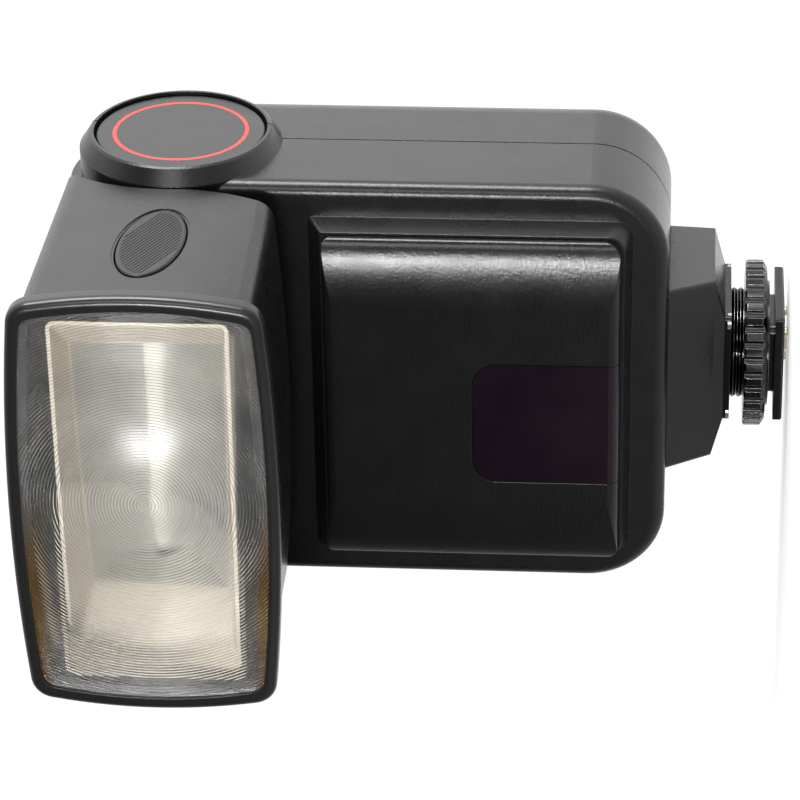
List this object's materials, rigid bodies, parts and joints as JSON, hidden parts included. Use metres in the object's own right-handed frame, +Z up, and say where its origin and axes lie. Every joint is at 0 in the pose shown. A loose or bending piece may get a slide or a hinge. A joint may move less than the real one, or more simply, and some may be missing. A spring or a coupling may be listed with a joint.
{
  "type": "camera speedlight flash",
  "caption": "Shoe-mount camera flash with a wide zoom head that tilts up on two side pivots, rear controls and a knurled lock ring on its foot.",
  "frame": {"origin": "centre of the shoe foot's sole", "axes": "+Z up from the foot to the head, -Y the way the flash points, +X its right side seen from the front"},
  "size_m": [0.076, 0.0801, 0.1188],
  "materials": {
    "body_plastic": "fine-grained satin black",
    "panel_plastic": "fine-grained satin black",
    "head_plastic": "fine-grained satin black",
    "bezel_plastic": "smooth satin black",
    "cap_plastic": "fine matte black",
    "button_plastic": "finely ribbed matte black",
    "red_inlay": "painted red",
    "assist_red": "polished, deep red, nearly opaque",
    "lamp_clear": "polished",
    "lens_clear": "moulded with fine concentric rings",
    "blackened_metal": "black chrome",
    "contact_metal": "plated",
    "screw_steel": "plated",
    "reflector_metal": "polished sheet",
    "card_white": "matte white",
    "tube_glass": "clear",
    "electrode_metal": "plain",
    "motor_metal": "plain",
    "inner_plastic": "plain moulded black",
    "board_green": "solder mask",
    "coil_wire": "varnished wire and tape",
    "console_plastic": "satin black",
    "key_rubber": "matte dark grey",
    "test_red": "translucent red",
    "switch_plastic": "matte grey",
    "display_cover": "polished",
    "display_glass": "grey-green display",
    "lamp_orange": "translucent orange",
    "cell_sleeve": "printed film sleeve, plain blue",
    "capacitor_sleeve": "shrink sleeve"
  },
  "bodies": {
    "main_body": {"assist_lamp_holder": "inner_plastic", "assist_lamp_lens": "lamp_clear", "assist_window": "assist_red", "battery_tray": "inner_plastic", "cap_ring_left": "red_inlay", "cap_ring_right": "red_inlay", "cell_contacts": "contact_metal", "cell_springs": "contact_metal", "cells": "cell_sleeve", "control_board": "board_green", "display_module": "display_glass", "display_window": "display_cover", "door_pin": "screw_steel", "flash_capacitor": "capacitor_sleeve", "foot_block": "body_plastic", "foot_screws": "screw_steel", "front_panel_cover": "panel_plastic", "front_shell": "body_plastic", "main_board": "board_green", "pivot_stub_left": "inner_plastic", "pivot_stub_right": "inner_plastic", "ready_lamp": "lamp_orange", "rear_console": "console_plastic", "rear_shell": "body_plastic", "shell_screws": "screw_steel", "shoe_base_plate": "blackened_metal", "shoe_foot": "blackened_metal", "side_cap_left": "cap_plastic", "side_cap_right": "cap_plastic", "threaded_collar": "blackened_metal", "transformer": "coil_wire"},
    "head_body": {"head_hood": "head_plastic", "head_rear_cover": "head_plastic", "lens_bezel": "bezel_plastic", "fresnel_lens": "lens_clear", "button_bracket": "inner_plastic", "button_spring": "screw_steel", "guide_rod": "screw_steel", "zoom_motor": "motor_metal", "rod_brackets": "inner_plastic", "head_board": "board_green", "trigger_coil": "coil_wire", "light_funnel": "card_white"},
    "zoom_carriage_body": {"zoom_carriage": "inner_plastic", "reflector": "reflector_metal", "reflector_lip": "card_white", "flash_tube": "tube_glass", "tube_electrodes": "electrode_metal"},
    "tilt_button_body": {"tilt_button": "button_plastic"},
    "zoom_screw_body": {"lead_screw": "screw_steel"},
    "zoom_key_body": {"zoom_key": "key_rubber"},
    "mode_key_body": {"mode_key": "key_rubber"},
    "backlight_key_body": {"backlight_key": "key_rubber"},
    "set_key_body": {"set_key": "key_rubber"},
    "test_key_body": {"test_key": "test_red"},
    "power_switch_body": {"power_switch": "switch_plastic"},
    "battery_door_body": {"battery_door": "body_plastic"},
    "ring_washer_body": {"ring_washer": "blackened_metal"},
    "lock_ring_body": {"lock_ring": "blackened_metal"},
    "contact_pins_body": {"contact_pins": "contact_metal"}
  },
  "joints": [
    {"name": "head_tilt", "type": "hinge", "parent": "main_body", "child": "head_body", "pos_m": [0, -0.0025, 0.0967], "axis": [-1, 0, 0], "range_deg": [0, 90]},
    {"name": "tilt_release", "type": "slide", "parent": "head_body", "child": "tilt_button_body", "axis": [-1, 0, 0], "range_m": [0, 0.0012], "stiffness_N_per_m": 400},
    {"name": "zoom_screw_turn", "type": "hinge", "parent": "head_body", "child": "zoom_screw_body", "pos_m": [-0.0293, -0.04, 0.0971], "axis": [0, 1, 0], "range_deg": [0, 1200]},
    {"name": "zoom_travel", "type": "slide", "parent": "head_body", "child": "zoom_carriage_body", "axis": [0, 1, 0], "range_m": [0, 0.01]},
    {"name": "zoom_key_press", "type": "slide", "parent": "main_body", "child": "zoom_key_body", "axis": [0, -1, 0], "range_m": [0, 0.0008], "stiffness_N_per_m": 500},
    {"name": "mode_key_press", "type": "slide", "parent": "main_body", "child": "mode_key_body", "axis": [0, -1, 0], "range_m": [0, 0.0008], "stiffness_N_per_m": 500},
    {"name": "backlight_key_press", "type": "slide", "parent": "main_body", "child": "backlight_key_body", "axis": [0, -1, 0], "range_m": [0, 0.0008], "stiffness_N_per_m": 500},
    {"name": "set_key_press", "type": "slide", "parent": "main_body", "child": "set_key_body", "axis": [0, -1, 0], "range_m": [0, 0.0008], "stiffness_N_per_m": 500},
    {"name": "test_key_press", "type": "slide", "parent": "main_body", "child": "test_key_body", "axis": [0, -1, 0], "range_m": [0, 0.0008], "stiffness_N_per_m": 500},
    {"name": "power_switch_slide", "type": "slide", "parent": "main_body", "child": "power_switch_body", "axis": [1, 0, 0], "range_m": [0, 0.004]},
    {"name": "battery_door_hinge", "type": "hinge", "parent": "main_body", "child": "battery_door_body", "pos_m": [-0.0343, 0, 0.0351], "axis": [0, -1, 0], "range_deg": [0, 95]},
    {"name": "lock_ring_travel", "type": "slide", "parent": "main_body", "child": "ring_washer_body", "axis": [0, 0, 1], "range_m": [-0.0008, 0.002]},
    {"name": "lock_ring_turn", "type": "hinge", "parent": "ring_washer_body", "child": "lock_ring_body", "pos_m": [0, 0, 0.0045], "axis": [0, 0, 1], "range_deg": [-288, 720]},
    {"name": "contact_pins_travel", "type": "slide", "parent": "main_body", "child": "contact_pins_body", "axis": [0, 0, 1], "range_m": [0, 0.0008], "stiffness_N_per_m": 300}
  ],
  "couplings": [
    {"joint": "lock_ring_turn", "follows": "lock_ring_travel", "rad_per_m": 6283.2},
    {"joint": "zoom_screw_turn", "follows": "zoom_travel", "rad_per_m": 2094.4}
  ]
}
